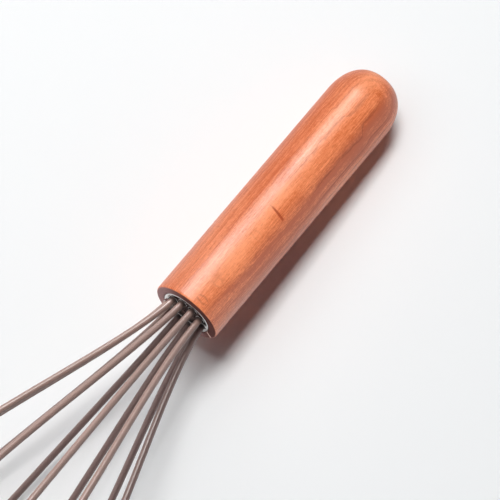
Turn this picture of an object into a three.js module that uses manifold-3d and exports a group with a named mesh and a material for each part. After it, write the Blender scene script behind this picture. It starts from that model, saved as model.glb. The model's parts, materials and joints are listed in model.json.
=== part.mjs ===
// A balloon whisk with silicone-covered wire loops and a turned wooden handle.
//
// The whisk is built along its own axis: +Z runs out of the handle's mouth to the tip of the
// balloon, and z = 0 is the mouth's face. It is then laid down as it rests on a table, on the
// rounded butt of the handle and on two neighbouring legs of the balloon. All sizes are in mm.
import * as THREE from 'three';
import { mergeVertices } from 'three/addons/utils/BufferGeometryUtils.js';
import Module from 'manifold-3d';

const wasm = await Module();
wasm.setup();

// Wire loops: a steel core inside a silicone tube.
const loopCount = 5;
const coreDiameter = 1.4;
const sleeveWall = 0.5;
const sleeveSlip = 0.2; // radial play of the core in its sleeve
const loopGap = 0.3; // space left where one loop crosses over the next at the tip

// Balloon: the centreline of the innermost loop, seen square to its plane.
const ringRadius = 8.2; // legs from the axis, where they leave the cap
const neckAngle = 4; // degrees that a leg leans outwards at the cap
const neckReach = 28.5; // how far the lean at the cap steers the leg
const balloonRadius = 42;
const bellyHeight = 129.5; // mouth to the widest place
const bellyReach = 31.5; // how far the straight run at the widest place steers the leg
const crownHeight = 45; // widest place to the tip

// Each leg of this used whisk stands a few degrees off its even place round the axis. These are
// the turns of each loop's first leg and of the leg opposite, in degrees.
const legSways = [[-10, 3], [-3, 1], [-8, -2], [-19, -8], [-10, -2]];
const swayLength = 40; // run from the cap over which a leg swings out to its place

// Perforated cap, a shallow drawn cup.
const capThickness = 0.8;
const capSkirtWall = 0.6;
const capSkirtDepth = 5;
const capEdgeRadius = 0.7;
const capRimLand = 0.95; // metal between a hole and the cap's edge
const holeClearance = 0.45; // sleeve to the edge of its punched hole

// Handle.
const handleLength = 132;
const mouthWall = 3.9; // end grain between the cap and the outside
const mouthEdgeRadius = 1;
const buttFlare = 0.4; // growth of the radius from the mouth to the butt
const buttRoundLength = 17;
const buttFlatDiameter = 9;
const seatLedge = 0.7; // step that the cap's skirt rests on
const seatChamfer = 0.3;

// Resin and what it holds.
const sleeveGrip = 8.4; // sleeve inside the resin
const bareCoreLength = 26; // core below the end of its sleeve
const resinFloor = 5; // resin below the ends of the cores

// Clearances.
const fitGap = 0.3;
const pressGap = 0.12; // round pieces pressed or cast into the handle

// Fineness of the round shapes.
const turnedSides = 48;
const wireSides = 8;
const coreSides = 6;
const pocketSides = 12;
const bendSteps = 2;
const legSteps = 10;
const crownSteps = 10;
const edgeSteps = 4;
const buttSteps = 9;

// Sizes that follow from the ones above.
const neckLean = THREE.MathUtils.degToRad(neckAngle);
const coreRadius = coreDiameter / 2;
const sleeveBoreRadius = coreRadius + sleeveSlip;
const sleeveRadius = sleeveBoreRadius + sleeveWall;
const holeRadius = sleeveRadius + holeClearance;
const capRadius = ringRadius + holeRadius + capRimLand;
const seatRadius = capRadius + pressGap;
const seatDepth = capSkirtDepth + fitGap;
const boreRadius = seatRadius - seatLedge;
const mouthRadius = seatRadius + mouthWall;
const buttRadius = mouthRadius + buttFlare;
const resinRadius = boreRadius - pressGap;
const resinFace = seatDepth + fitGap;
const sleeveDepth = resinFace + sleeveGrip;
const coreDepth = sleeveDepth + bareCoreLength;
const boreDepth = coreDepth + resinFloor;
const legTurn = Math.PI / loopCount;
// A leg is straight in the resin, and bends to its lean on the way from there to the cap's face.
const neckBendRadius = resinFace / Math.sin(neckLean);
const resinRingRadius = ringRadius - neckBendRadius * (1 - Math.cos(neckLean));

const wood = new THREE.MeshStandardMaterial({ color: 0xc9663a, roughness: 0.42, metalness: 0 });
const steel = new THREE.MeshStandardMaterial({ color: 0xc8c9cb, roughness: 0.18, metalness: 1 });
const wireSteel = new THREE.MeshStandardMaterial({ color: 0x9a9a98, roughness: 0.35, metalness: 1 });
const silicone = new THREE.MeshStandardMaterial({ color: 0x7d6058, roughness: 0.5, metalness: 0 });
const resin = new THREE.MeshStandardMaterial({ color: 0xb9a27c, roughness: 0.3, metalness: 0 });

function smoothStep(x) {
  const t = THREE.MathUtils.clamp(x, 0, 1);
  return t * t * (3 - 2 * t);
}

// A profile of [radius, z] points turned about the Z axis.
function turned(profile) {
  const points = profile.map(([radius, z]) => new THREE.Vector2(radius, z));
  const geometry = new THREE.LatheGeometry(points, turnedSides);
  geometry.rotateX(Math.PI / 2);
  return geometry;
}

// A rod along Z from z = low to z = high, its foot at (x, y).
function rod(radius, low, high, sides, x, y) {
  const geometry = new THREE.CylinderGeometry(radius, radius, high - low, sides);
  geometry.rotateX(Math.PI / 2);
  geometry.translate(x, y, (low + high) / 2);
  return geometry;
}

// The solid inside a closed geometry, for cutting.
function solidOf(geometry) {
  const bare = geometry.clone();
  bare.deleteAttribute('normal');
  bare.deleteAttribute('uv');
  const merged = mergeVertices(bare);
  const index = merged.index.array;
  const triangles = [];
  for (let i = 0; i < index.length; i += 3) {
    const [a, b, c] = [index[i], index[i + 1], index[i + 2]];
    if (a !== b && b !== c && c !== a) triangles.push(a, b, c);
  }
  const vertProperties = new Float32Array(merged.attributes.position.array);
  const triVerts = new Uint32Array(triangles);
  return new wasm.Manifold(new wasm.Mesh({ numProp: 3, vertProperties, triVerts }));
}

function geometryOf(solid) {
  const mesh = solid.getMesh();
  const geometry = new THREE.BufferGeometry();
  geometry.setAttribute('position', new THREE.BufferAttribute(mesh.vertProperties, 3));
  geometry.setIndex(new THREE.BufferAttribute(mesh.triVerts, 1));
  const faceted = geometry.toNonIndexed();
  faceted.computeVertexNormals();
  return faceted;
}

function cutFrom(geometry, cutters) {
  let solid = solidOf(geometry);
  for (const cutter of cutters) {
    solid = solid.subtract(solidOf(cutter));
  }
  return geometryOf(solid);
}

function named(name, geometry, material) {
  const mesh = new THREE.Mesh(geometry, material);
  mesh.name = name;
  return mesh;
}

// Points on a quarter of an ellipse about [radius, z], from angle a to angle b.
function quarter(centre, halfWidth, halfHeight, a, b, steps) {
  const curve = new THREE.EllipseCurve(centre[0], centre[1], halfWidth, halfHeight, a, b, a > b);
  return curve.getPoints(steps).map((point) => [point.x, point.y]);
}

// Where each leg passes through the cap and into the resin.
function legPlaces(radius) {
  const places = [];
  for (let i = 0; i < 2 * loopCount; i += 1) {
    const turn = i * legTurn + restTurn;
    places.push([radius * Math.sin(turn), radius * Math.cos(turn)]);
  }
  return places;
}

// Turn round the axis of one leg of a loop, past the length over which it swings out.
function swayOf(loop, side) {
  return THREE.MathUtils.degToRad(legSways[loop % legSways.length][side]);
}

function legPlace(loop, side) {
  return loop * legTurn + side * Math.PI;
}

// The turn of the whole whisk about its axis that puts its two lowest legs level on the table.
function turnAtRest() {
  const lowest = Math.floor(loopCount / 2);
  const first = legPlace(lowest, 1) + swayOf(lowest, 1);
  const second = legPlace(lowest - 1, 1) + swayOf(lowest - 1, 1);
  return Math.PI - (first + second) / 2;
}

const restTurn = turnAtRest();

// Half of a loop's centreline as [radius, z] points, from inside the resin to the tip. The crown
// is higher on each loop than on the one inside it, so the loops cross at the tip without touching.
function halfLoop(loop) {
  const neck = new THREE.EllipseCurve(resinRingRadius + neckBendRadius, -resinFace,
    neckBendRadius, neckBendRadius, Math.PI, Math.PI - neckLean, true);
  const leg = new THREE.CubicBezierCurve(
    new THREE.Vector2(ringRadius, 0),
    new THREE.Vector2(ringRadius + neckReach * Math.sin(neckLean), neckReach * Math.cos(neckLean)),
    new THREE.Vector2(balloonRadius, bellyHeight - bellyReach),
    new THREE.Vector2(balloonRadius, bellyHeight),
  );
  const crown = crownHeight + loop * (2 * sleeveRadius + loopGap);
  const crownCurve = new THREE.EllipseCurve(0, bellyHeight, balloonRadius, crown, 0, Math.PI / 2);
  const inResin = [new THREE.Vector2(resinRingRadius, -sleeveDepth)];
  return [
    ...inResin,
    ...neck.getPoints(bendSteps),
    ...leg.getPoints(legSteps).slice(1),
    ...crownCurve.getPoints(crownSteps).slice(1),
  ];
}

// One leg as points in space, from the resin to the tip. The leg leaves the cap at its even place,
// swings out to its own place, and comes back over the crown to the loop's mean plane.
function legPoints(loop, side) {
  const meanSway = (swayOf(loop, 0) + swayOf(loop, 1)) / 2;
  return halfLoop(loop).map((point) => {
    const crownShare = smoothStep((point.y - bellyHeight) / crownHeight);
    const swayed = swayOf(loop, side) * smoothStep(point.y / swayLength);
    const sway = THREE.MathUtils.lerp(swayed, meanSway, crownShare);
    const turn = legPlace(loop, side) + restTurn + sway;
    return new THREE.Vector3(point.x * Math.sin(turn), point.x * Math.cos(turn), point.y);
  });
}

// The whole centreline of a sleeve: up one leg, over the tip and down the leg opposite.
function loopPoints(loop) {
  const up = legPoints(loop, 0);
  const down = legPoints(loop, 1).reverse();
  return [...up, ...down.slice(1)];
}

// A path that passes through its points at equal steps, so that a core and its sleeve are swept
// through the very same rings.
class WirePath extends THREE.Curve {
  constructor(points) {
    super();
    this.points = points;
  }

  getPoint(t, target = new THREE.Vector3()) {
    const last = this.points.length - 1;
    const place = THREE.MathUtils.clamp(t, 0, 1) * last;
    const below = Math.min(Math.floor(place), last - 1);
    return target.lerpVectors(this.points[below], this.points[below + 1], place - below);
  }

  getUtoTmapping(u) {
    return u;
  }
}

function polygon(radius, sides) {
  const points = [];
  for (let i = 0; i < sides; i += 1) {
    const angle = (2 * Math.PI * i) / sides;
    points.push(new THREE.Vector2(radius * Math.cos(angle), radius * Math.sin(angle)));
  }
  return points;
}

function swept(section, points) {
  return new THREE.ExtrudeGeometry(section, {
    steps: points.length - 1,
    extrudePath: new WirePath(points),
  });
}

function sleeveGeometry(loop) {
  const section = new THREE.Shape(polygon(sleeveRadius, wireSides));
  section.holes.push(new THREE.Path(polygon(sleeveBoreRadius, coreSides)));
  return swept(section, loopPoints(loop));
}

// The core follows its sleeve and runs on at both ends, bare and straight, into the resin.
function coreGeometry(loop) {
  const points = loopPoints(loop);
  const ends = [points[0], points[points.length - 1]];
  const [start, end] = ends.map((point) => new THREE.Vector3(point.x, point.y, -coreDepth));
  return swept(new THREE.Shape(polygon(coreRadius, coreSides)), [start, ...points, end]);
}

function handleGeometry() {
  const roundCentre = [buttFlatDiameter / 2, buttRoundLength - handleLength];
  const roundWidth = buttRadius - buttFlatDiameter / 2;
  const butt = quarter(roundCentre, roundWidth, buttRoundLength, 0, -Math.PI / 2, buttSteps);
  const edgeCentre = [mouthRadius - mouthEdgeRadius, -mouthEdgeRadius];
  const edge = quarter(edgeCentre, mouthEdgeRadius, mouthEdgeRadius, Math.PI / 2, 0, edgeSteps);
  return turned([
    [0, -handleLength],
    ...butt.reverse(),
    ...edge.reverse(),
    [seatRadius + seatChamfer, 0],
    [seatRadius, -seatChamfer],
    [seatRadius, -seatDepth],
    [boreRadius, -seatDepth],
    [boreRadius, -boreDepth],
    [0, -boreDepth],
  ]);
}

// The cap is drawn from sheet, so its edge is rounded outside and inside, and its holes are
// punched on the ring of the legs.
function capGeometry() {
  const edgeCentre = [capRadius - capEdgeRadius, -capEdgeRadius];
  const outside = quarter(edgeCentre, capEdgeRadius, capEdgeRadius, Math.PI / 2, 0, edgeSteps);
  const cup = turned([
    [0, -capThickness],
    [capRadius - capSkirtWall, -capThickness],
    [capRadius - capSkirtWall, -capSkirtDepth],
    [capRadius, -capSkirtDepth],
    ...outside.reverse(),
    [0, 0],
  ]);
  const holes = legPlaces(ringRadius).map(([x, y]) => (
    rod(holeRadius, -2 * capThickness, capThickness, pocketSides, x, y)
  ));
  return cutFrom(cup, holes);
}

function resinGeometry() {
  const plug = turned([
    [0, fitGap - boreDepth],
    [resinRadius, fitGap - boreDepth],
    [resinRadius, -resinFace],
    [0, -resinFace],
  ]);
  const pockets = legPlaces(resinRingRadius).flatMap(([x, y]) => [
    rod(sleeveRadius + fitGap, -sleeveDepth - fitGap, fitGap - resinFace, pocketSides, x, y),
    rod(coreRadius + fitGap, -coreDepth - fitGap, -sleeveDepth, wireSides, x, y),
  ]);
  return cutFrom(plug, pockets);
}

// The slope at which the whisk lies, found by halving: at the right slope the lowest point of the
// handle and the lowest point of the balloon are level.
function restingSlope(handlePiece, sleevePieces) {
  const lowestOf = (mesh, slope) => {
    const places = mesh.geometry.attributes.position;
    let lowest = Infinity;
    for (let i = 0; i < places.count; i += 1) {
      const height = places.getZ(i) * Math.sin(slope) + places.getY(i) * Math.cos(slope);
      lowest = Math.min(lowest, height);
    }
    return lowest;
  };
  let level = 0;
  let steep = Math.PI / 4;
  for (let i = 0; i < 40; i += 1) {
    const middle = (level + steep) / 2;
    const balloon = Math.min(...sleevePieces.map((piece) => lowestOf(piece, middle)));
    if (balloon < lowestOf(handlePiece, middle)) {
      level = middle;
    } else {
      steep = middle;
    }
  }
  return (level + steep) / 2;
}

const handle = named('handle', handleGeometry(), wood);
const endCap = named('end_cap', capGeometry(), steel);
const resinPlug = named('resin_plug', resinGeometry(), resin);
const sleeves = [];
const cores = [];
for (let loop = 0; loop < loopCount; loop += 1) {
  sleeves.push(named(`silicone_sleeve_${loop + 1}`, sleeveGeometry(loop), silicone));
  cores.push(named(`wire_core_${loop + 1}`, coreGeometry(loop), wireSteel));
}

// The whisk on its axis, turned to lie along +X with the lowest legs down.
const onAxis = new THREE.Group();
onAxis.add(handle, endCap, resinPlug, ...sleeves, ...cores);
const [sideways, upwards, lengthways] = [
  new THREE.Vector3(0, 1, 0),
  new THREE.Vector3(0, 0, 1),
  new THREE.Vector3(1, 0, 0),
];
onAxis.setRotationFromMatrix(new THREE.Matrix4().makeBasis(sideways, upwards, lengthways));

const sloped = new THREE.Group();
sloped.add(onAxis);
sloped.rotation.y = -restingSlope(handle, sleeves);

// The origin is on the table, under the middle of the whisk's box.
const whisk = new THREE.Group();
whisk.add(sloped);
whisk.updateMatrixWorld(true);
const box = new THREE.Box3().setFromObject(sloped, true);
const middle = box.getCenter(new THREE.Vector3());
sloped.position.set(-middle.x, -middle.y, -box.min.z);
whisk.updateMatrixWorld(true);

export default whisk;
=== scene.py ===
"""Visual model of a balloon whisk: a turned beech handle, a perforated steel cap and five crossing
loops of steel wire covered with silicone. The whisk lies on a pale table as it comes to rest."""
import json
import math
from functools import partial, reduce

import bmesh
import bpy
from bpy.props import FloatProperty, FloatVectorProperty, IntProperty, PointerProperty
from mathutils import Matrix, Quaternion, Vector
from mathutils.geometry import interpolate_bezier


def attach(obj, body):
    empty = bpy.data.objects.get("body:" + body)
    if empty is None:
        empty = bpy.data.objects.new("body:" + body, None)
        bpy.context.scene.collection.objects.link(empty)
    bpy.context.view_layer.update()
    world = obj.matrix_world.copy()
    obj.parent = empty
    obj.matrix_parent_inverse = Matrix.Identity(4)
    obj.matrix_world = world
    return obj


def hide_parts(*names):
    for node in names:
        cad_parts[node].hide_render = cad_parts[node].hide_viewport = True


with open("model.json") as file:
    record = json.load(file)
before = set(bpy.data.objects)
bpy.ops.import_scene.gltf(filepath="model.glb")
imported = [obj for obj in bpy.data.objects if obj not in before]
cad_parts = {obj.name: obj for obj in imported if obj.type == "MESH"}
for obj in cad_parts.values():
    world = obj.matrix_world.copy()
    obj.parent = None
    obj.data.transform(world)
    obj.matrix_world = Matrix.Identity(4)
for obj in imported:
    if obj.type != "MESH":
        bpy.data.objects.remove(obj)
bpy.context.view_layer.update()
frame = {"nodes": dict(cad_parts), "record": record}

bl_info = {
    "name": "Balloon whisk",
    "version": (1, 0, 0),
    "blender": (4, 5, 0),
    "location": "3D View > Sidebar > Whisk",
    "description": "Models a balloon whisk with a wooden handle and silicone-covered loops",
    "category": "Add Mesh",
}

MM = 0.001

# The whisk is modelled along its own axis: +Z runs out of the handle's mouth to the tip of the
# balloon, and z = 0 is the mouth's face. The flat on the butt says where the packed whisk lies.
BUTT = next(mount for mount in frame["record"]["mounts"] if mount["name"] == "butt_flat")
LENGTHWAYS = -Vector(BUTT["axis"]).normalized()
SIDEWAYS = Vector((0, 1, 0))
UPWARDS = LENGTHWAYS.cross(SIDEWAYS)

# Each leg of this used whisk stands a few degrees off its even place round the axis. These are the
# turns of each loop's first leg and of the leg opposite, in degrees.
LEG_SWAYS = ((-10, 3), (-3, 1), (-8, -2), (-19, -8), (-10, -2))

# Each lamp's name, its lean to the whisk's left and its slant towards the butt from straight above
# in degrees, its width across the whisk and its length along it in millimetres, and the light on a
# surface that faces it, where 1 is plain level.
LAMPS = {
    "box": ("Soft box", 13.7, 15, 465, 1050, 0.38),
    "sky": ("Wide lamp", 27, -10, 1350, 2400, 0.34),
    "wash": ("Wash lamp", 13.7, 15, 465, 1050, 0.42),
    "loops": ("Loops' lamp", 40, 12, 390, 1050, 0.55),
    "fill": ("Low lamp", -73, 0, 450, 1500, 0.38),
    "front": ("Front lamp", 30, -80, 750, 450, 0.65),
    "card": ("Gloss card", 29.6, 29.5, 600, 405, 0.86),
}
CAMERA_AIM = Vector((-71.5, 0, 0)) * MM
CAMERA_REACH = (0.05, 50)      # nearest and farthest place that the camera sees, in metres

NEAR = 0.01 * MM               # places closer than this are one
# Edges that turn by more than these stay sharp in the shading.
HANDLE_CREASE = math.radians(35)
CAP_CREASE = math.radians(40)
WIRE_CREASE = math.radians(60)
LARGE_FACES_LEAD = 100         # weight at which the larger faces at a vertex set its shading

# Steps along the runs of the handle's profile.
BUTT_STEPS = 26
SIDE_STEPS = 24
EDGE_STEPS = 7
FACE_STEPS = 3
BORE_STEPS = 8
# Steps of a leg inside the resin, and along its bend into it.
RESIN_STEPS = 4
BEND_STEPS = 5
# Facets round a cutter and round a burr, and steps over the cap's drawn edge.
CUTTER_SIDES = 10
BURR_SIDES = 12
DRAWN_STEPS = 6
# Bevel resolution of a sleeve and of a core.
SLEEVE_FINENESS = 7
CORE_FINENESS = 2


def size(name, description, millimetres):
    """A length that a user can set."""
    return FloatProperty(name=name, description=description, default=millimetres * MM, min=0, unit="LENGTH")


def angle(name, description, degrees):
    """An angle that a user can set."""
    return FloatProperty(name=name, description=description, default=math.radians(degrees), unit="ROTATION")


def count(name, description, number):
    """A whole number that a user can set."""
    return IntProperty(name=name, description=description, default=number, min=1)


def share(name, description, value):
    """A plain number that a user can set."""
    return FloatProperty(name=name, description=description, default=value, min=0)


def colour(name, description, red, green, blue):
    """A colour that a user can set, in linear light."""
    return FloatVectorProperty(
        name=name, description=description, default=(red, green, blue), size=3, min=0, max=1, subtype="COLOR"
    )


class HandleSizes(bpy.types.PropertyGroup):
    """Sizes of the turned handle."""

    length: size("Length", "Mouth's face to the flat of the butt", 132)
    mouth_radius: size("Mouth radius", "Outside radius at the mouth", 15.02)
    butt_radius: size("Butt radius", "Largest radius, where the butt begins to round", 15.42)
    butt_round: size("Butt rounding", "Length of the rounded butt", 17)
    butt_flat: size("Butt flat", "Radius of the flat at the middle of the butt", 4.5)
    butt_fullness: share("Butt fullness", "How full the butt's shoulder is, where 1 is an ellipse", 1.06)
    mouth_edge: size("Mouth edge", "Radius of the rounded edge at the mouth", 1)
    seat_radius: size("Seat radius", "Radius of the seat that the cap is pressed into", 11.12)
    seat_depth: size("Seat depth", "Mouth's face to the ledge under the cap", 5.3)
    seat_chamfer: size("Seat chamfer", "Chamfer that leads the cap in", 0.3)
    bore_radius: size("Bore radius", "Radius of the bore that holds the resin", 10.42)
    bore_depth: size("Bore depth", "Mouth's face to the floor of the bore", 45)
    sides: count("Sides", "Facets round the handle", 144)


class CapSizes(bpy.types.PropertyGroup):
    """Sizes of the perforated cap, a shallow drawn cup."""

    radius: size("Radius", "Outside radius of the cap", 11)
    thickness: size("Thickness", "Thickness of the face", 0.8)
    skirt_wall: size("Skirt wall", "Thickness of the skirt", 0.6)
    skirt_depth: size("Skirt depth", "Depth of the skirt", 5)
    edge_radius: size("Edge radius", "Radius of the drawn edge", 0.4)
    hole_radius: size("Hole radius", "Radius of each punched hole", 1.85)
    collar: size("Hole collar", "Height of the burr round a punched hole", 0.16)
    sides: count("Sides", "Facets round the cap", 144)
    hole_sides: count("Hole sides", "Facets round a hole", 36)


class LoopSizes(bpy.types.PropertyGroup):
    """Sizes of the covered wire loops."""

    count: count("Loops", "Number of loops", 5)
    sleeve_radius: size("Sleeve radius", "Outside radius of the silicone", 1.4)
    sleeve_wall: size("Sleeve wall", "Thickness of the silicone", 0.5)
    core_radius: size("Core radius", "Radius of the steel core", 0.7)
    gap: size("Crossing gap", "Space left where one loop crosses the next", 0.3)
    ring_radius: size("Ring radius", "Legs from the axis where they leave the cap", 8.2)
    neck_lean: angle("Neck lean", "Outward lean of a leg at the cap", 4)
    neck_reach: size("Neck reach", "How far the lean at the cap steers a leg", 28.5)
    balloon_radius: size("Balloon radius", "Radius of the balloon's widest place", 42)
    belly_height: size("Belly height", "Mouth to the widest place", 129.5)
    belly_reach: size("Belly reach", "How far the widest place steers a leg", 31.5)
    crown_height: size("Crown height", "Widest place to the tip of the innermost loop", 45)
    sway_rise: size("Sway rise", "Height by which a leg has swung out two thirds of the way to its place", 18)
    resin_face: size("Resin face", "Mouth to the top of the resin", 5.6)
    sleeve_depth: size("Sleeve depth", "Mouth to the end of a sleeve in the resin", 14)
    core_depth: size("Core depth", "Mouth to the end of a core in the resin", 40)
    leg_steps: count("Leg steps", "Stations along each leg", 70)
    crown_steps: count("Crown steps", "Stations along each half of the crown", 48)


class Finishes(bpy.types.PropertyGroup):
    """Colours of the whisk and its table."""

    wood_light: colour("Light wood", "Wood early in each year's growth", 0.93, 0.315, 0.14)
    wood_dark: colour("Dark wood", "Wood late in each year's growth", 0.58, 0.105, 0.018)
    # Browner wood, also painted darker as shade on the side that the lamps miss
    wood_brown: colour("Brown wood", "Late wood on the handle's browner side", 0.42, 0.108, 0.052)
    # Stain in the nick, also painted darker as the shade inside the cut
    nick: colour("Nick", "Stain in the nick across the handle", 0.36, 0.045, 0.012)
    wood_line: colour("Ring line", "Line between two years' growth", 0.24, 0.05, 0.025)
    end_grain: colour("End grain", "Stained end grain at the mouth", 0.33, 0.19, 0.185)
    # End grain painted darker as shade, on the side away from the light
    end_grain_shaded: colour("Dark end grain", "End grain that soaked up the most stain", 0.10, 0.036, 0.03)
    raw_wood: colour("Raw wood", "Unstained wood in the split", 0.85, 0.62, 0.55)
    silicone: colour("Silicone", "Taupe silicone", 0.34, 0.215, 0.18)
    # Silicone painted darker as shade, for the lower legs and those on the right
    shaded_silicone: colour("Deep silicone", "Silicone of the lower legs", 0.215, 0.135, 0.12)
    steel: colour("Cap steel", "Polished steel of the cap", 0.74, 0.72, 0.71)
    # Painted shade and dark reflection on the cap between the upper legs
    cap_shade: colour("Grime", "Grime on the cap between the upper legs", 0.13, 0.08, 0.08)
    wire: colour("Wire steel", "Drawn steel of the cores", 0.42, 0.42, 0.41)
    resin: colour("Resin", "Cast resin in the bore", 0.48, 0.35, 0.2)
    table: colour("Table", "Pale table", 0.951, 0.961, 0.958)


class StageSizes(bpy.types.PropertyGroup):
    """Camera, table, lamps and room."""

    distance: size("Distance", "Camera to the point that it looks at", 937.6)
    azimuth: angle("Azimuth", "Camera's turn round the whisk", 119.73)
    elevation: angle("Elevation", "Camera's height above the table", 73.28)
    roll: angle("Roll", "Camera's turn about its own line of sight", 8.44)
    lens: FloatProperty(name="Lens", description="Focal length in millimetres", default=163.3, unit="CAMERA")
    table: size("Table", "Side of the table", 8000)
    lamp_distance: size("Lamp distance", "Lamps to the whisk", 1800)
    room_level: share("Room level", "Light from all round, where 1 is plain level", 0.042)
    room_colour: colour("Room colour", "Colour of the light from all round", 0.55, 0.7, 1.0)
    ceiling_level: share("Ceiling level", "Brightness of the ceiling in gloss, where 1 is white", 0.06)


def lamp_settings():
    """The settings of every lamp that a user can change."""
    settings = {}
    for kind, (name, lean, slant, width, length, power) in LAMPS.items():
        settings |= {
            f"{kind}_lean": angle(f"{name}: lean", "Lean from straight above, to the whisk's left", lean),
            f"{kind}_slant": angle(f"{name}: slant", "Lean from straight above, towards the butt", slant),
            f"{kind}_width": size(f"{name}: width", "Size across the whisk", width),
            f"{kind}_length": size(f"{name}: length", "Size along the whisk", length),
            f"{kind}_power": share(f"{name}: power", "Light on what faces it, where 1 is plain level", power),
        }
    return settings


StageSizes.__annotations__.update(lamp_settings())


def placement(handle):
    """Matrix that lays the whisk down from its own axis into the packed frame."""
    axes = Matrix((SIDEWAYS, UPWARDS, LENGTHWAYS)).transposed().to_4x4()
    return Matrix.Translation(Vector(BUTT["pos_m"]) + LENGTHWAYS * handle.length) @ axes


def smooth_step(value):
    """Ease from 0 to 1."""
    value = min(max(value, 0), 1)
    return value * value * (3 - 2 * value)


def quarter(centre, half_width, half_height, start, end, steps, fullness=1):
    """Points on an arc of an ellipse about (radius, height), without its first point. Its shoulder
    stands out past the ellipse where the fullness is over 1."""
    points = []
    for step in range(1, steps + 1):
        bend = math.radians(start + (end - start) * step / steps)
        out, up = (
            math.copysign(abs(part) ** (1 / fullness), part) for part in (math.cos(bend), math.sin(bend))
        )
        points.append((centre[0] + half_width * out, centre[1] + half_height * up))
    return points


def straight(start, end, steps):
    """Points on a straight run from one (radius, height) to another, without its first point."""
    shares = [step / steps for step in range(1, steps + 1)]
    return [(start[0] + (end[0] - start[0]) * part, start[1] + (end[1] - start[1]) * part) for part in shares]


def select_where(test):
    """Select the vertices of the mesh in edit mode that pass a test on their place."""
    mesh = bmesh.from_edit_mesh(bpy.context.object.data)
    for face in mesh.faces:
        face.select = False
    for edge in mesh.edges:
        edge.select = False
    for vertex in mesh.verts:
        vertex.select = test(vertex.co)
    mesh.select_flush(True)
    bmesh.update_edit_mesh(bpy.context.object.data)


def deselect():
    bpy.ops.object.select_all(action="DESELECT")


def pick(piece):
    """Select one piece alone and make it the active one."""
    deselect()
    piece.select_set(True)
    bpy.context.view_layer.objects.active = piece


def apply_modifier(piece, kind, **settings):
    """Add a modifier to a piece and apply it."""
    modifier = piece.modifiers.new(kind.title(), kind)
    for name, value in settings.items():
        setattr(modifier, name, value)
    bpy.ops.object.modifier_apply(modifier=modifier.name)


def carve(piece, tool, operation="DIFFERENCE"):
    """Cut a tool out of a piece, or add it on, and put the tool away."""
    pick(piece)
    apply_modifier(piece, "BOOLEAN", operation=operation, object=tool, solver="EXACT")
    bpy.data.objects.remove(tool)


def turn_faces_out():
    """Turn the faces of the mesh in edit mode outwards, and leave edit mode."""
    bpy.ops.mesh.select_all(action="SELECT")
    bpy.ops.mesh.normals_make_consistent(inside=False)
    bpy.ops.object.mode_set(mode="OBJECT")


def close_ends():
    """Close the open ends of the mesh in edit mode, and leave edit mode."""
    bpy.ops.mesh.select_all(action="SELECT")
    bpy.ops.mesh.fill_holes(sides=0)
    turn_faces_out()


def drawn_out(middles, radii, sides, turned=(0, 0, 0)):
    """A solid drawn out of one ring, which goes from middle to middle and has its own radius at each."""
    deselect()
    bpy.ops.mesh.primitive_circle_add(vertices=sides, radius=radii[0], location=middles[0], rotation=turned)
    bpy.ops.object.mode_set(mode="EDIT")
    bpy.ops.mesh.select_all(action="SELECT")
    for step in range(1, len(middles)):
        run = middles[step] - middles[step - 1]
        bpy.ops.mesh.extrude_region_move(TRANSFORM_OT_translate={"value": run})
        growth = radii[step] / radii[step - 1]
        bpy.ops.transform.resize(value=(growth, growth, growth), center_override=middles[step])
    close_ends()
    return bpy.context.object


def shade_smooth(piece, crease):
    """Shade a piece smooth, with its flat faces kept flat and its creases sharp."""
    bpy.ops.object.shade_smooth_by_angle(angle=crease)
    apply_modifier(piece, "WEIGHTED_NORMAL", keep_sharp=True, weight=LARGE_FACES_LEAD)


def lay_down(piece, context):
    """Lay a piece that was modelled on the whisk's axis into the packed frame."""
    pick(piece)
    bpy.ops.object.transform_apply()
    piece.matrix_world = placement(context.scene.whisk_handle)
    bpy.ops.object.transform_apply()


def finish(make, context):
    """A material in the user's colours, by the function that makes it."""
    return make(context.scene.whisk_finishes, context.scene.whisk_handle)


def finish_piece(piece, node, material, context):
    """Name a piece's finish, lay it in the frame and let it stand for its packed node."""
    piece.data.materials.clear()
    piece.data.materials.append(material)
    lay_down(piece, context)
    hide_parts(node)
    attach(piece, "root")


def grey(level):
    return (level, level, level)


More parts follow.
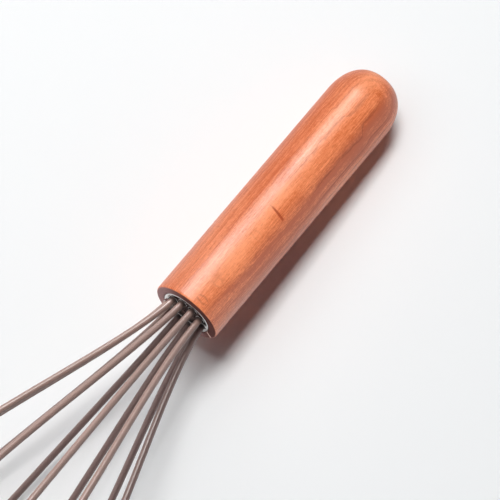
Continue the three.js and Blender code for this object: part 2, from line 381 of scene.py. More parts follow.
class Bench:
    """Adds and links the nodes of one material, or of the room."""

    def __init__(self, owner, shader="Principled BSDF"):
        owner.use_nodes = True
        self.owner = owner
        self.tree = owner.node_tree
        self.shader = self.tree.nodes[shader]

    def node(self, kind, *inputs, **settings):
        """A node with its settings and its first inputs, each a value or another node's output."""
        node = self.tree.nodes.new(kind)
        for name, value in settings.items():
            setattr(node, name, value)
        for socket, value in zip(node.inputs, inputs):
            self.feed(socket, value)
        return node

    def feed(self, socket, value):
        """Set a socket, or link it. A colour is set with its full alpha."""
        if isinstance(value, bpy.types.NodeSocket):
            self.tree.links.new(value, socket)
        elif socket.type == "RGBA":
            socket.default_value = (*value, 1)
        elif value is not None:
            socket.default_value = value

    def math(self, operation, *inputs, clamp=False):
        return self.node("ShaderNodeMath", *inputs, operation=operation, use_clamp=clamp).outputs[0]

    def product(self, *values):
        return reduce(partial(self.math, "MULTIPLY"), values)

    def total(self, *values):
        return reduce(partial(self.math, "ADD"), values)

    def highest(self, *values):
        return reduce(partial(self.math, "MAXIMUM"), values)

    def less(self, first, second):
        return self.math("SUBTRACT", first, second)

    def ratio(self, first, second):
        return self.math("DIVIDE", first, second)

    def scaled(self, value, factor, plus):
        """A value times a factor, plus another value."""
        return self.math("MULTIPLY_ADD", value, factor, plus)

    def reach(self, first, second):
        """How far a place with these two coordinates is from where both are nought."""
        return self.math("SQRT", self.scaled(first, first, self.product(second, second)))

    def on_axis(self, handle, turn=0):
        """Places in millimetres along the whisk's own axis, turned about it."""
        placed = self.node("ShaderNodeTexCoord").outputs["Object"]
        back = Matrix.Rotation(turn, 4, "Z") @ placement(handle).inverted()
        shift, rotation = back.to_translation() / MM, back.to_euler("XYZ")
        return self.node("ShaderNodeMapping", placed, shift, rotation, (1 / MM, 1 / MM, 1 / MM)).outputs[0]

    def split(self, vector):
        return self.node("ShaderNodeSeparateXYZ", vector).outputs

    def stretched(self, vector, across, deep, along, shift=0):
        """Places scaled by their own factors, so that a pattern is drawn out along the grain."""
        moved, factors = (shift, shift, shift), (across, deep, along)
        return self.node("ShaderNodeMapping", vector, moved, None, factors).outputs[0]

    def noise(self, vector, scale, detail, roughness):
        noise = self.node("ShaderNodeTexNoise")
        settings = {"Vector": vector, "Scale": scale, "Detail": detail, "Roughness": roughness}
        for name, value in settings.items():
            self.feed(noise.inputs[name], value)
        return noise.outputs["Fac"]

    def streaks(self, vector, factors, detail, roughness=0.6, shift=0):
        """Noise on stretched places. Its shift sets it apart from the other patterns."""
        return self.noise(self.stretched(vector, *factors, shift), 1, detail, roughness)

    def cells(self, vector, scale=1):
        """Distance to the nearest of many scattered middles, and each one's own colour."""
        cells = self.node("ShaderNodeTexVoronoi")
        self.feed(cells.inputs["Vector"], vector)
        self.feed(cells.inputs["Scale"], scale)
        return cells.outputs

    def swing(self, pattern, amount, middle=0):
        """A pattern of 0 to 1 made to swing by an amount about a middle."""
        return self.math("MULTIPLY_ADD", pattern, amount, middle - amount / 2)

    def step(self, value, low, high, bottom=0, top=1):
        """Smooth step of a value from bottom at low to top at high."""
        return self.node(
            "ShaderNodeMapRange", value, low, high, bottom, top, interpolation_type="SMOOTHSTEP"
        ).outputs[0]

    def blend(self, amount, first, second, blend_type="MIX"):
        """Mix of two colours."""
        mix = self.node("ShaderNodeMix", data_type="RGBA", blend_type=blend_type, clamp_factor=True)
        self.feed(mix.inputs[0], amount)
        self.feed(mix.inputs[6], first)
        self.feed(mix.inputs[7], second)
        return mix.outputs[2]

    def clouded(self, body, pattern, share_left):
        """A colour that a pattern darkens to a share of itself."""
        return self.blend(pattern, body, [value * share_left for value in body])

    def mottled(self, body, pattern, amount):
        """A colour that a pattern makes darker and lighter, by up to an amount of itself."""
        return self.blend(1.0, body, self.blend(pattern, grey(1 - amount), grey(1 + amount)), "MULTIPLY")

    def bump(self, height, distance):
        """Relief of a height in millimetres."""
        bump = self.node("ShaderNodeBump")
        bump.inputs["Strength"].default_value = 1
        bump.inputs["Distance"].default_value = distance * MM
        self.feed(bump.inputs["Height"], height)
        return bump.outputs[0]

    def seen(self):
        """1 on rays that show the room to the camera, straight or by gloss or glass, and 0 on the rest."""
        rays = self.node("ShaderNodeLightPath").outputs
        return self.highest(rays["Is Camera Ray"], rays["Is Glossy Ray"], rays["Is Transmission Ray"])

    def surface(self, **inputs):
        """Set or link the shader's own sockets and return what the bench works on."""
        for name, value in inputs.items():
            self.feed(self.shader.inputs[name.replace("_", " ")], value)
        return self.owner


def material_bench(name):
    """A bench for the material of this name."""
    return Bench(bpy.data.materials.get(name) or bpy.data.materials.new(name))


# Places on the handle are given by their turn round the axis in degrees, with 0 straight up and
# the positive side to the right of the camera, and by their height on the axis in millimetres.
GRAIN_TURN = 18.5      # where the growth rings lie flat to the surface
RING_SPACING = 2.25    # one year's growth
RING_DEPTH = 14.6      # outermost ring line from the axis, halfway along the handle
PITH_DEPTH = 60        # axis to the middle of the tree
# Bends of the rings along the handle: the heights between which each lies, and its shift at both.
RING_BENDS = ((-105, -102, -0.54, 0), (-76, -62, 0, 0.3), (-42, -2, 0, -0.8))
END_SHADE_TURN = 50    # middle of the end grain's side that is painted darker as shade
# Eyes in the grain: height, half width and strength.
EYES = ((-3.8, 1.3, 0.34), (-13.4, 1.6, 0.22), (-39, 1.5, 0.1))
EYE_TURN = 15.5
EYE_REACH = 15         # eyes from the axis
EYE_HALF_HEIGHT = 2.2
# The nick across the handle, from its left end to its right end: turn and height.
NICK = ((-1, -52.7), (31, -51.4))
NICK_WIDTHS = (0.14, 0.22, 0.26, 0.28, 0.3, 0.32, 0.34, 0.36, 0.36, 0.33, 0.28, 0.14)
NICK_LIFT = 0.26       # how far the middle of the round cutter stays above the wood
# The split in the mouth's face, from the seat to the edge, sideways and upwards from the axis.
SPLIT = ((10.6, -2.6), (12.7, -4.7), (13.9, -6.6))
SPLIT_WIDTH = 0.13


def ring_layer(bench, across, depth, along, waver):
    """Height of a place in the growth rings, which arch round the pith and bend along the handle."""
    crown = bench.product(across, across, 0.5 / PITH_DEPTH)
    return bench.total(depth, crown, waver, *(bench.step(along, *bend) for bend in RING_BENDS))


def grain_eyes(bench, turn, z, waver):
    """Outlines of the small eyes in the grain near the mouth."""
    height = bench.product(bench.less(turn, EYE_TURN), math.radians(EYE_REACH) / EYE_HALF_HEIGHT)
    outlines = []
    for middle, half_width, strength in EYES:
        side = bench.ratio(bench.less(z, middle), half_width)
        off_line = bench.math("ABSOLUTE", bench.total(bench.reach(height, side), waver, -1))
        outline = bench.step(off_line, 0.05, 0.5, strength, 0)
        outlines.append(bench.product(outline, bench.step(bench.math("ABSOLUTE", side), 0.1, 0.7)))
    return bench.highest(*outlines)


def nick_stain_and_shade(bench, turn, z):
    """Dark stain along the nick, with painted shade of the cut, thinner and fainter at its left end."""
    (left, low), (right, high) = NICK
    part = bench.ratio(bench.less(turn, left), right - left)
    off_line = bench.math("ABSOLUTE", bench.less(z, bench.scaled(part, high - low, low)))
    width = bench.step(part, 0, 0.75, 0.5, 0.8)
    within = bench.product(bench.step(part, -0.05, 0.4), bench.step(part, 1.06, 0.94))
    return bench.product(within, bench.step(bench.ratio(off_line, width), 0.4, 1, 0.85, 0))


def end_grain(bench, finishes, x, y, reach, axial):
    """Stained end grain, painted darker on one side as shade, with pores and one split that shows raw wood.
    """
    shade = math.radians(END_SHADE_TURN)
    toward = bench.scaled(x, math.sin(shade), bench.product(y, math.cos(shade)))
    shaded = bench.step(bench.ratio(toward, reach), -0.75, 0.7)
    wood = bench.blend(shaded, finishes.end_grain, finishes.end_grain_shaded)
    wood = bench.mottled(wood, bench.noise(axial, 2.4, 4, 0.7), 0.45)
    start, end = Vector(SPLIT[0]), Vector(SPLIT[-1])
    side = (end - start).normalized().orthogonal()
    off_line = bench.scaled(x, side.x, bench.scaled(y, side.y, -start.dot(side)))
    raw = bench.step(bench.math("ABSOLUTE", off_line), 0.3, 0.14)
    raw = bench.product(raw, bench.step(x, start.x - 1, start.x - 0.5))
    return bench.blend(raw, wood, finishes.raw_wood)


def ring_lines(bench, grain, across, along, year):
    """Thin dark lines between two years' growth, and the noise that makes them ragged. A line is plain
    to the right on the butt's half, faint to the left there, and comes and goes elsewhere."""
    ragged = bench.streaks(grain, (0.8, 0.8, 0.25), 3, 0.65, 1.9)
    from_line = bench.product(bench.math("PINGPONG", year, 0.5), RING_SPACING)
    line = bench.step(bench.ratio(from_line, bench.step(ragged, 0.3, 0.7, 0.08, 0.42)), 0, 1, 1, 0)
    to_right = bench.product(bench.step(across, 1.5, 3.5), bench.step(along, -66, -76, 0, 0.7))
    to_left = bench.product(bench.step(across, -1.5, -3.5), bench.step(across, -8, -6))
    to_left = bench.product(to_left, bench.step(along, -48, -90, 0, 0.28))
    patchy = bench.step(bench.streaks(grain, (0.12, 0.12, 0.05), 2, 0.5, 6.3), 0.45, 0.66, 0, 0.22)
    line = bench.product(line, bench.highest(patchy, to_right, to_left))
    return bench.product(line, bench.step(along, -122, -110, 0.4, 1)), ragged


def ray_flecks(bench, grain):
    """Rays: thin ribbons that run from the pith, seen end on where the rings lie flat."""
    rays = bench.cells(bench.stretched(grain, 1.5, 0.05, 0.3, 2.3))
    fleck = bench.step(rays["Distance"], 0.05, 0.36, 1, 0)
    return bench.product(fleck, bench.step(bench.split(rays["Color"])[0], 0.4, 1.0))


def wood_tones(bench, turn, along, brown_and_shade):
    """How dark the wood is from place to place. It is redder to the left of its pale middle, and darker
    towards the butt, to the right of the middle and round the nick. The browner side is also painted darker
    as shade, and low on the butt's right the wood is painted paler as light thrown back by the table."""
    def place(turns, heights, amount=1):
        return bench.product(bench.step(turn, *turns), bench.step(along, *heights, 0, amount))

    left_turn = bench.less(turn, bench.step(along, -84, -64, 0, 16))
    return (
        bench.step(left_turn, -8, -36, 0.24, 0.78),
        # Browner side, darkened further as painted shade.
        bench.product(brown_and_shade, bench.step(along, -50, -30, 0.5, 0.68)),
        bench.step(along, -20, -100, -0.1, 0.08),
        place((-4, 16), (-22, -60), 0.24),
        # Painted light: paler low on the butt's right, as light thrown back by the table.
        place((56, 72), (-50, -75), -0.4),
        bench.product(place((8, 24), (-26, -36)), place((44, 34), (-70, -62), 0.24)),
    )


def stained_beech(finishes, handle):
    """Varnished beech with a reddish stain: growth rings, fibres, ray flecks and dark end grain."""
    bench = material_bench("stained_beech")
    axial = bench.on_axis(handle)
    grain = bench.on_axis(handle, math.radians(GRAIN_TURN))
    across, depth, along = bench.split(grain)
    x, y, z = bench.split(axial)
    turn = bench.math("DEGREES", bench.math("ARCTAN2", x, y))

    # Growth rings, each dark late in the year and pale again from a thin line on.
    waver = bench.streaks(grain, (0.16, 0.16, 0.1), 5, shift=3.1)
    layer = ring_layer(bench, across, depth, along, bench.swing(waver, 1.1))
    year = bench.ratio(bench.less(layer, RING_DEPTH), RING_SPACING)
    late_wood = bench.step(bench.math("FRACT", year), 0.35, 1.0)
    line, ragged = ring_lines(bench, grain, across, along, year)
    line = bench.highest(line, grain_eyes(bench, turn, z, bench.swing(ragged, 0.7)))

    # Fibres, and the finer layers of each year that show as streaks where the rings stand on edge.
    fibres = bench.streaks(grain, (2.2, 2.2, 0.07), 4)
    fine_fibres = bench.streaks(grain, (5, 5, 0.4), 3, shift=5.7)
    spread = bench.node("ShaderNodeCombineXYZ", across, layer, along).outputs[0]
    bands = bench.streaks(spread, (0.12, 1.5, 0.018), 3, shift=4.4)
    patches = bench.streaks(grain, (0.08, 0.08, 0.035), 2, 0.5, 8.3)
    mottle = bench.streaks(grain, (0.9, 0.9, 1.1), 5, 0.8, 7.7)

    # Browner wood on the right, partly its own colour and partly painted shade on the side the lamps miss.
    brown_and_shade = bench.step(turn, 10, 44)
    tones = wood_tones(bench, turn, along, brown_and_shade)
    patterns = (late_wood, 0.2), (patches, 0.8), (fibres, 1.2), (fine_fibres, 1.6), (bands, 0.9), (mottle, 1)
    swings = (bench.swing(pattern, amount) for pattern, amount in patterns)
    tone = bench.math("ADD", bench.total(*tones, *swings), 0, clamp=True)
    dark_wood = bench.blend(brown_and_shade, finishes.wood_dark, finishes.wood_brown)
    wood = bench.blend(tone, finishes.wood_light, dark_wood)
    dark = bench.highest(line, bench.product(ray_flecks(bench, grain), 0.3))
    wood = bench.blend(dark, wood, finishes.wood_line)
    # Stain and painted shade along the nick.
    wood = bench.blend(nick_stain_and_shade(bench, turn, z), wood, finishes.nick)

    # End grain soaks up the stain, at the mouth's face and inside the bore.
    reach = bench.reach(x, y)
    inside = bench.step(reach, handle.seat_radius / MM + 0.5, handle.seat_radius / MM + 0.2)
    ends = bench.highest(bench.step(z, -0.35, -0.12), bench.product(inside, bench.step(z, -110, -105)))
    wood = bench.blend(ends, wood, end_grain(bench, finishes, x, y, reach, axial))

    # The varnish gets thinner and smoother towards the butt, and there is none on the end grain.
    varnish = bench.less(bench.step(along, -12, -50, 1, 0.57), bench.step(along, -75, -92, 0, 0.14))
    relief = bench.total(bench.product(bench.total(fine_fibres, mottle), 0.5), fibres)
    relief = bench.bump(bench.less(relief, bench.product(dark, 0.5)), 0.06)
    return bench.surface(
        Base_Color=wood, Roughness=bench.scaled(ends, 0.3, bench.swing(fibres, 0.3, 0.48)), Normal=relief,
        Specular_IOR_Level=0.2, Coat_Weight=bench.product(bench.less(1, ends), varnish),
        Coat_Roughness=bench.step(along, -8, -95, 0.41, 0.28), Coat_Normal=relief,
    )


SHADED_SIDE_TURN = 155    # middle of the side where the silicone is painted darker as shade


def taupe_silicone(finishes, handle):
    """Matt silicone with a soft mottle. The lower legs and those on the right are painted darker as shade,
    and every leg has painted shade where it leaves the cap."""
    bench = material_bench("taupe_silicone")
    axial = bench.on_axis(handle)
    x, y, z = bench.split(axial)
    cloud = bench.noise(axial, 0.3, 3, 0.6)
    grit = bench.noise(axial, 1.6, 4, 0.7)
    turned = math.radians(SHADED_SIDE_TURN)
    upness = bench.scaled(y, -math.cos(turned), bench.product(x, -math.sin(turned)))
    # Painted shade: legs towards the table and on the right-hand side are darker, less so near the crown.
    side_shade = bench.step(bench.ratio(upness, bench.reach(x, y)), 0.05, -0.4)
    side_shade = bench.product(side_shade, bench.step(z, 135, 165, 1, 0.2))
    body = bench.blend(side_shade, finishes.silicone, finishes.shaded_silicone)
    body = bench.mottled(body, bench.total(bench.swing(cloud, 0.5, 0.5), bench.swing(grit, 0.6)), 0.25)
    # Painted shade where each leg leaves the cap, darkest at the cap.
    root_shade = bench.step(z, 0.6, 2.4, 0.22, 1)
    shade = bench.node("ShaderNodeCombineColor", root_shade, root_shade, root_shade).outputs[0]
    return bench.surface(
        Base_Color=bench.blend(1.0, body, shade, "MULTIPLY"), Roughness=bench.swing(grit, 0.2, 0.38),
        Normal=bench.bump(grit, 0.02), Specular_IOR_Level=0.9,
    )


def polished_steel(finishes, handle):
    """Polished steel with fine scratches, and painted shade and dark reflection round the upper holes."""
    bench = material_bench("polished_steel")
    axial = bench.on_axis(handle)
    x, y, z = bench.split(axial)
    reach = bench.reach(x, y)
    scratches = bench.streaks(axial, (14, 0.8, 14), 3)
    smudges = bench.noise(axial, 0.8, 3, 0.6)
    # Painted shade and dark reflection on the flat face between the upper holes, inside the rim.
    cap_shade = bench.product(
        bench.step(bench.ratio(y, reach), 0.25, 0.6), bench.step(reach, 10.7, 10.45),
        bench.step(smudges, 0.25, 0.5, 0.6, 1), bench.step(z, 0.1, 0.04),
    )
    body = bench.blend(cap_shade, bench.clouded(finishes.steel, smudges, 0.8), finishes.cap_shade)
    roughness = bench.scaled(cap_shade, 0.15, bench.scaled(scratches, 0.12, 0.03))
    relief = bench.bump(scratches, 0.004)
    return bench.surface(Base_Color=body, Metallic=1.0, Roughness=roughness, Normal=relief)


def spring_wire(finishes, handle):
    """Drawn steel with lines along its length."""
    bench = material_bench("spring_wire")
    lines = bench.streaks(bench.on_axis(handle), (6, 6, 0.3), 3)
    return bench.surface(
        Base_Color=bench.clouded(finishes.wire, lines, 0.7), Metallic=1.0,
        Roughness=bench.scaled(lines, 0.25, 0.2), Normal=bench.bump(lines, 0.01),
    )


def casting_resin(finishes, handle):
    """Cast resin, cloudy with small bubbles."""
    bench = material_bench("casting_resin")
    axial = bench.on_axis(handle)
    cloud = bench.noise(axial, 0.25, 3, 0.6)
    pit = bench.step(bench.cells(axial, 0.9)["Distance"], 0.12, 0.2, 1, 0)
    deep = [value * 0.7 for value in finishes.resin]
    body = bench.blend(cloud, finishes.resin, deep)
    body = bench.blend(bench.product(pit, 0.4), body, deep)
    roughness = bench.scaled(cloud, 0.2, 0.2)
    return bench.surface(Base_Color=body, Roughness=roughness, Normal=bench.bump(pit, -0.1))


WALL_LEVEL = 0.95           # brightness of the room at the horizon, where 1 is white
WALL_HEIGHTS = (0.15, 0.6)  # end of the wall and start of the ceiling, as sines of their height
TABLE_FADE = (0.45, 1.5)    # metres from the whisk over which the table passes into the room


def table_top(finishes):
    """Pale smooth table with a faint unevenness. Far from the whisk it passes into the white room."""
    bench = material_bench("table_top")
    placed = bench.node("ShaderNodeTexCoord").outputs["Object"]
    cloud = bench.noise(placed, 6, 3, 0.5)
    away = bench.node("ShaderNodeVectorMath", placed, operation="LENGTH").outputs["Value"]
    far = bench.product(bench.seen(), bench.step(away, *TABLE_FADE))
    room = bench.node("ShaderNodeEmission", grey(1), WALL_LEVEL).outputs[0]
    mixed = bench.node("ShaderNodeMixShader", far, bench.shader.outputs[0], room).outputs[0]
    bench.tree.links.new(mixed, bench.tree.nodes["Material Output"].inputs["Surface"])
    body = bench.clouded(finishes.table, cloud, 0.985)
    return bench.surface(Base_Color=body, Roughness=bench.scaled(cloud, 0.1, 0.7))


def loop_turn(loop, side, loops):
    """A leg's even place round the axis, and how far it sways from it once it has swung out."""
    return loop * math.pi / loops + side * math.pi, math.radians(LEG_SWAYS[loop % len(LEG_SWAYS)][side])


def rest_turn(loops):
    """Turn of the whole balloon that puts its two lowest legs level on the table."""
    lowest = loops // 2
    turns = [sum(loop_turn(loop, 1, loops)) for loop in (lowest, lowest - 1)]
    return math.pi - sum(turns) / 2


def resin_ring(sizes):
    """Radius of the bend into the resin, and the ring of the legs inside it."""
    bend = sizes.resin_face / math.sin(sizes.neck_lean)
    return bend, sizes.ring_radius - bend * (1 - math.cos(sizes.neck_lean))


def half_loop(sizes, loop):
    """Half of a loop's centreline as (radius, height) points, from the resin to the tip."""
    bend, ring = resin_ring(sizes)
    lean = math.degrees(sizes.neck_lean)
    steps = sizes.leg_steps
    points = [(ring, -sizes.sleeve_depth)]
    points += straight(points[0], (ring, -sizes.resin_face), RESIN_STEPS)
    points += quarter((ring + bend, -sizes.resin_face), bend, bend, 180, 180 - lean, BEND_STEPS)
    start = Vector((sizes.ring_radius, 0, 0))
    first = start + Vector((math.sin(sizes.neck_lean), math.cos(sizes.neck_lean), 0)) * sizes.neck_reach
    end = Vector((sizes.balloon_radius, sizes.belly_height, 0))
    second = end - Vector((0, sizes.belly_reach, 0))
    points += [(place.x, place.y) for place in interpolate_bezier(start, first, second, end, steps + 1)[1:]]
    crown = sizes.crown_height + loop * (2 * sizes.sleeve_radius + sizes.gap)
    points += quarter((0, sizes.belly_height), sizes.balloon_radius, crown, 0, 90, sizes.crown_steps)
    return points


def leg_points(sizes, loop, side):
    """One leg in space. It leaves the cap at its even place, swings out to its own place, and comes
    back over the crown to the loop's mean plane."""
    even, sway = loop_turn(loop, side, sizes.count)
    mean = sum(loop_turn(loop, each, sizes.count)[1] for each in (0, 1)) / 2
    points = []
    for radius, height in half_loop(sizes, loop):
        swayed = sway * (1 - math.exp(-max(height, 0) / sizes.sway_rise))
        crown_share = smooth_step((height - sizes.belly_height) / sizes.crown_height)
        turn = even + rest_turn(sizes.count) + swayed + (mean - swayed) * crown_share
        points.append(Vector((radius * math.sin(turn), radius * math.cos(turn), height)))
    return points


def loop_points(sizes, loop):
    """A whole loop: up one leg, over the tip and down the leg opposite."""
    up, down = (leg_points(sizes, loop, side) for side in (0, 1))
    return up + down[-2::-1]


def bent_wire(name, points, radius, resolution, capped):
    """A round wire bent along its points, as a mesh."""
    deselect()
    bpy.ops.curve.primitive_bezier_curve_add(location=(0, 0, 0))
    wire = bpy.context.object
    wire.name = name
    line = wire.data
    line.splines.clear()
    spline = line.splines.new("POLY")
    spline.points.add(len(points) - 1)
    for place, point in zip(spline.points, points):
        place.co = (*point, 1)
    line.dimensions = "3D"
    line.twist_mode = "MINIMUM"
    line.bevel_depth = radius
    line.bevel_resolution = resolution
    line.use_fill_caps = capped
    bpy.ops.object.convert(target="MESH")
    wire = bpy.context.object
    bpy.ops.object.mode_set(mode="EDIT")
    bpy.ops.mesh.select_all(action="SELECT")
    bpy.ops.mesh.remove_doubles(threshold=NEAR)
    turn_faces_out()
    return wire


class WHISK_OT_turn_handle(bpy.types.Operator):
    """Turn the beech handle with its rounded butt, its bore and the seat for the cap"""

    bl_idname = "whisk.turn_handle"
    bl_label = "Turn the handle"
    bl_options = {"REGISTER", "UNDO"}

    def profile(self, sizes):
        """Rings of (radius, height) from the butt's flat round to the floor of the bore."""
        butt_centre = (sizes.butt_flat, sizes.butt_round - sizes.length)
        rings = [(sizes.butt_flat, -sizes.length)]
        half_width = sizes.butt_radius - sizes.butt_flat
        rings += quarter(butt_centre, half_width, sizes.butt_round, -90, 0, BUTT_STEPS, sizes.butt_fullness)
        rings += straight(rings[-1], (sizes.mouth_radius, -sizes.mouth_edge), SIDE_STEPS)
        edge_centre = (sizes.mouth_radius - sizes.mouth_edge, -sizes.mouth_edge)
        rings += quarter(edge_centre, sizes.mouth_edge, sizes.mouth_edge, 0, 90, EDGE_STEPS)
        rings += straight(rings[-1], (sizes.seat_radius + sizes.seat_chamfer, 0), FACE_STEPS)
        rings += [
            (sizes.seat_radius, -sizes.seat_chamfer),
            (sizes.seat_radius, -sizes.seat_depth),
            (sizes.bore_radius, -sizes.seat_depth),
        ]
        return rings + straight(rings[-1], (sizes.bore_radius, -sizes.bore_depth), BORE_STEPS)

    def groove(self, points, widths, turned):
        """A cutter with a round section that runs along its points and is turned to face along them."""
        return drawn_out(points, [width * MM for width in widths], CUTTER_SIDES, (0, math.pi / 2, turned))

    def wear(self, sizes, handle):
        """Cut the nick across the handle and the split in the mouth's face."""
        (left, low), (right, high) = NICK
        points = []
        for step in range(len(NICK_WIDTHS)):
            part = step / (len(NICK_WIDTHS) - 1)
            turn, height = math.radians(left + (right - left) * part), (low + (high - low) * part) * MM
            growth = (sizes.butt_radius - sizes.mouth_radius) / (sizes.length - sizes.butt_round)
            radius = sizes.mouth_radius - height * growth + NICK_LIFT * MM
            points.append(Vector((radius * math.sin(turn), radius * math.cos(turn), height)))
        nick = self.groove(points, NICK_WIDTHS, -math.radians(left + right) / 2)
        split_points = [Vector((*place, 0)) * MM for place in SPLIT]
        run = split_points[-1] - split_points[0]
        split = self.groove(split_points, [SPLIT_WIDTH] * len(SPLIT), math.atan2(run.y, run.x))
        for cutter in (nick, split):
            carve(handle, cutter)

    def execute(self, context):
        sizes = context.scene.whisk_handle
        rings = self.profile(sizes)
        middles = [Vector((0, 0, height)) for radius, height in rings]
        handle = drawn_out(middles, [radius for radius, height in rings], sizes.sides)
        handle.name = "beech_handle"
        self.wear(sizes, handle)
        shade_smooth(handle, HANDLE_CREASE)
        finish_piece(handle, "handle", finish(stained_beech, context), context)
        return {"FINISHED"}


class WHISK_OT_draw_cap(bpy.types.Operator):
    """Draw the steel cap as a shallow cup and punch the holes for the legs"""

    bl_idname = "whisk.draw_cap"
    bl_label = "Draw and punch the cap"
    bl_options = {"REGISTER", "UNDO"}

    def hole_places(self, loops):
        """Middles of the holes, one at each leg's even place."""
        places = []
        for hole in range(2 * loops.count):
            turn = hole * math.pi / loops.count + rest_turn(loops.count)
            places.append(Vector((math.sin(turn), math.cos(turn), 0)) * loops.ring_radius)
        return places

    def joined(self, places, add_one):
        """What stands at every place, as one object."""
        deselect()
        made = []
        for place in places:
            add_one(place)
            made.append(bpy.context.object)
        for piece in made:
            piece.select_set(True)
        bpy.ops.object.join()
        bpy.ops.object.transform_apply()
        return bpy.context.object

    def blank(self, sizes):
        """The cup before it is punched, open below, with its drawn edge."""
        deselect()
        depth = sizes.skirt_depth
        bpy.ops.mesh.primitive_cylinder_add(
            vertices=sizes.sides, radius=sizes.radius, depth=depth, location=(0, 0, -depth / 2)
        )
        bpy.ops.object.transform_apply()
        bpy.ops.object.mode_set(mode="EDIT")
        select_where(lambda place: place.z < NEAR - depth)
        bpy.ops.mesh.inset(thickness=sizes.skirt_wall)
        bpy.ops.mesh.extrude_region_move(TRANSFORM_OT_translate={"value": (0, 0, depth - sizes.thickness)})
        select_where(lambda place: place.z > -NEAR)
        bpy.ops.mesh.bevel(offset=sizes.edge_radius, segments=DRAWN_STEPS, affect="EDGES")
        turn_faces_out()
        return bpy.context.object

    def execute(self, context):
        sizes, loops = context.scene.whisk_cap, context.scene.whisk_loops
        cap = self.blank(sizes)
        cap.name = "perforated_cap"
        places = self.hole_places(loops)
        collars = self.joined(places, lambda place: bpy.ops.mesh.primitive_torus_add(
            major_segments=sizes.hole_sides, minor_segments=BURR_SIDES, location=place,
            major_radius=sizes.hole_radius + sizes.collar / 2, minor_radius=sizes.collar,
        ))
        punches = self.joined(places, lambda place: bpy.ops.mesh.primitive_cylinder_add(
            vertices=sizes.hole_sides, radius=sizes.hole_radius, depth=4 * sizes.thickness, location=place
        ))
        carve(cap, collars, "UNION")
        carve(cap, punches)
        shade_smooth(cap, CAP_CREASE)
        finish_piece(cap, "end_cap", finish(polished_steel, context), context)
        return {"FINISHED"}


class WHISK_OT_pour_resin(bpy.types.Operator):
    """Give the cast resin plug in the bore its finish"""

    bl_idname = "whisk.pour_resin"
    bl_label = "Pour the resin"
    bl_options = {"REGISTER", "UNDO"}

    def execute(self, context):
        plug = frame["nodes"]["resin_plug"]
        plug.data.materials.clear()
        plug.data.materials.append(finish(casting_resin, context))
        return {"FINISHED"}


class WHISK_OT_bend_cores(bpy.types.Operator):
    """Bend the steel core of each loop"""

    bl_idname = "whisk.bend_cores"
    bl_label = "Bend the cores"
    bl_options = {"REGISTER", "UNDO"}

    def execute(self, context):
        sizes = context.scene.whisk_loops
        material = finish(spring_wire, context)
        for loop in range(sizes.count):
            points = loop_points(sizes, loop)
            start, end = (Vector((*point.xy, -sizes.core_depth)) for point in (points[0], points[-1]))
            name = f"core_wire_{loop + 1}"
            core = bent_wire(name, [start, *points, end], sizes.core_radius, CORE_FINENESS, True)
            bpy.ops.object.shade_smooth_by_angle(angle=WIRE_CREASE)
            finish_piece(core, f"wire_core_{loop + 1}", material, context)
        return {"FINISHED"}


class WHISK_OT_cover_loops(bpy.types.Operator):
    """Cover each loop with its silicone sleeve"""

    bl_idname = "whisk.cover_loops"
    bl_label = "Cover the loops"
    bl_options = {"REGISTER", "UNDO"}

    def execute(self, context):
        sizes = context.scene.whisk_loops
        material = finish(taupe_silicone, context)
        for loop in range(sizes.count):
            points, name = loop_points(sizes, loop), f"covered_loop_{loop + 1}"
            sleeve = bent_wire(name, points, sizes.sleeve_radius, SLEEVE_FINENESS, False)
            apply_modifier(sleeve, "SOLIDIFY", thickness=sizes.sleeve_wall, offset=-1)
            bpy.ops.object.shade_smooth_by_angle(angle=WIRE_CREASE)
            finish_piece(sleeve, f"silicone_sleeve_{loop + 1}", material, context)
        return {"FINISHED"}


def set_up(data, place, turn, context):
    """An object for a lamp or a camera, at its place and turned by a quaternion."""
    thing = bpy.data.objects.new(data.name, data)
    context.scene.collection.objects.link(thing)
    thing.location = place
    thing.rotation_mode = "QUATERNION"
    thing.rotation_quaternion = turn
    return thing


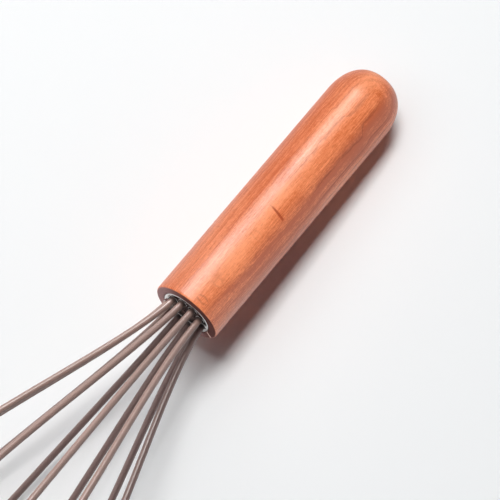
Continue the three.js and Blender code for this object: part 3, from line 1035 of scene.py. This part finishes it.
class WHISK_OT_lay_table(bpy.types.Operator):
    """Lay the pale table, hang the lamps and set up the camera"""

    bl_idname = "whisk.lay_table"
    bl_label = "Lay the table"
    bl_options = {"REGISTER", "UNDO"}

    def lay_floor(self, context, stage):
        deselect()
        bpy.ops.mesh.primitive_grid_add(x_subdivisions=8, y_subdivisions=8, size=stage.table)
        table = context.object
        table.name = "table_top"
        table.data.materials.append(table_top(context.scene.whisk_finishes))

    def hang_lamp(self, context, stage, kind):
        """A lamp that faces the whisk. A power of 1 gives the plain level there."""
        lean, slant, width, length, power = (
            getattr(stage, f"{kind}_{part}") for part in ("lean", "slant", "width", "length", "power")
        )
        lamp = bpy.data.lights.new(f"{kind}_lamp", "AREA")
        lamp.shape = "RECTANGLE"
        lamp.size, lamp.size_y = length, width
        lamp.energy = power * math.pi ** 2 * stage.lamp_distance ** 2
        towards = Vector((-math.tan(slant), -math.tan(lean), 1)).normalized()
        across = towards.cross((1, 0, 0)).normalized()
        turned = Matrix((across.cross(towards), across, towards)).transposed().to_quaternion()
        hung = set_up(lamp, towards * stage.lamp_distance, turned, context)
        hung.visible_camera = False
        return hung

    def group(self, name, pieces):
        """A collection that says which pieces a lamp lights, or which throw a shadow in it."""
        group = bpy.data.collections.new(name)
        for piece in pieces:
            group.objects.link(piece)
        return group

    def aim_lamps(self, lamps):
        """Say what each lamp lights. The wash lamp lights the table and the handle past the loops, which
        throw no shadow in it, and the loops' own lamp lights the rest. The fill and front lamps stand for
        light that the bright table throws back on the handle."""
        names = "table_top", "beech_handle", "perforated_cap"
        table, handle, cap = (bpy.data.objects[name] for name in names)
        rest = [piece for piece in bpy.data.objects if piece.type == "MESH" and piece not in (table, handle)]
        lit = {"wash": (table, handle), "loops": rest, "fill": (handle,), "front": (handle,)}
        for kind, pieces in lit.items():
            lamps[kind].light_linking.receiver_collection = self.group(f"lit_by_{kind}", pieces)
        lamps["wash"].light_linking.blocker_collection = self.group("shades_wash", (handle, cap))

    def light_room(self, context, stage):
        """Low light from all round. The camera and gloss see a room that is white at the horizon."""
        world = bpy.data.worlds.new("room")
        context.scene.world = world
        bench = Bench(world, "Background")
        seen = bench.seen()
        height = bench.split(bench.node("ShaderNodeTexCoord").outputs["Generated"])["Z"]
        wall = bench.step(height, *WALL_HEIGHTS, WALL_LEVEL, stage.ceiling_level)
        level = bench.node("ShaderNodeMapRange", seen, 0, 1, stage.room_level, wall).outputs[0]
        bench.surface(Color=bench.blend(seen, stage.room_colour, grey(1)), Strength=level)

    def set_camera(self, context, stage):
        """Camera that looks down on the whisk from beside its handle."""
        lens = bpy.data.cameras.new("camera")
        lens.lens = stage.lens
        lens.clip_start, lens.clip_end = CAMERA_REACH
        around, above = stage.azimuth, stage.elevation
        level = math.cos(above)
        back = Vector((math.sin(around) * level, -math.cos(around) * level, math.sin(above)))
        turned = back.to_track_quat("Z", "Y") @ Quaternion((0, 0, 1), stage.roll)
        context.scene.camera = set_up(lens, CAMERA_AIM + back * stage.distance, turned, context)

    def execute(self, context):
        stage = context.scene.whisk_stage
        self.lay_floor(context, stage)
        lamps = {kind: self.hang_lamp(context, stage, kind) for kind in LAMPS}
        for kind, lamp in lamps.items():
            lamp.visible_glossy = kind == "card"
            lamp.visible_diffuse = kind != "card"
        self.aim_lamps(lamps)
        self.light_room(context, stage)
        self.set_camera(context, stage)
        context.scene.view_settings.view_transform = "Standard"
        return {"FINISHED"}


OPERATORS = (
    WHISK_OT_turn_handle,
    WHISK_OT_draw_cap,
    WHISK_OT_pour_resin,
    WHISK_OT_bend_cores,
    WHISK_OT_cover_loops,
    WHISK_OT_lay_table,
)
SETTINGS = {
    "whisk_handle": HandleSizes,
    "whisk_cap": CapSizes,
    "whisk_loops": LoopSizes,
    "whisk_finishes": Finishes,
    "whisk_stage": StageSizes,
}


class WHISK_PT_workshop(bpy.types.Panel):
    """Steps and sizes of the whisk"""

    bl_label = "Whisk"
    bl_space_type = "VIEW_3D"
    bl_region_type = "UI"
    bl_category = "Whisk"

    def draw(self, context):
        layout = self.layout
        for step in OPERATORS:
            layout.operator(step.bl_idname)
        for name, group in SETTINGS.items():
            box = layout.box()
            box.label(text=group.__doc__)
            for setting in group.__annotations__:
                box.prop(getattr(context.scene, name), setting)


def register():
    for group in (*SETTINGS.values(), *OPERATORS, WHISK_PT_workshop):
        bpy.utils.register_class(group)
    for name, group in SETTINGS.items():
        setattr(bpy.types.Scene, name, PointerProperty(type=group))


def unregister():
    for name in SETTINGS:
        delattr(bpy.types.Scene, name)
    for group in (WHISK_PT_workshop, *reversed(OPERATORS), *reversed(SETTINGS.values())):
        bpy.utils.unregister_class(group)


def main():
    """Build the whisk and its stage."""
    register()
    bpy.ops.whisk.turn_handle()
    bpy.ops.whisk.draw_cap()
    bpy.ops.whisk.pour_resin()
    bpy.ops.whisk.bend_cores()
    bpy.ops.whisk.cover_loops()
    bpy.ops.whisk.lay_table()


if __name__ == "__main__":
    main()
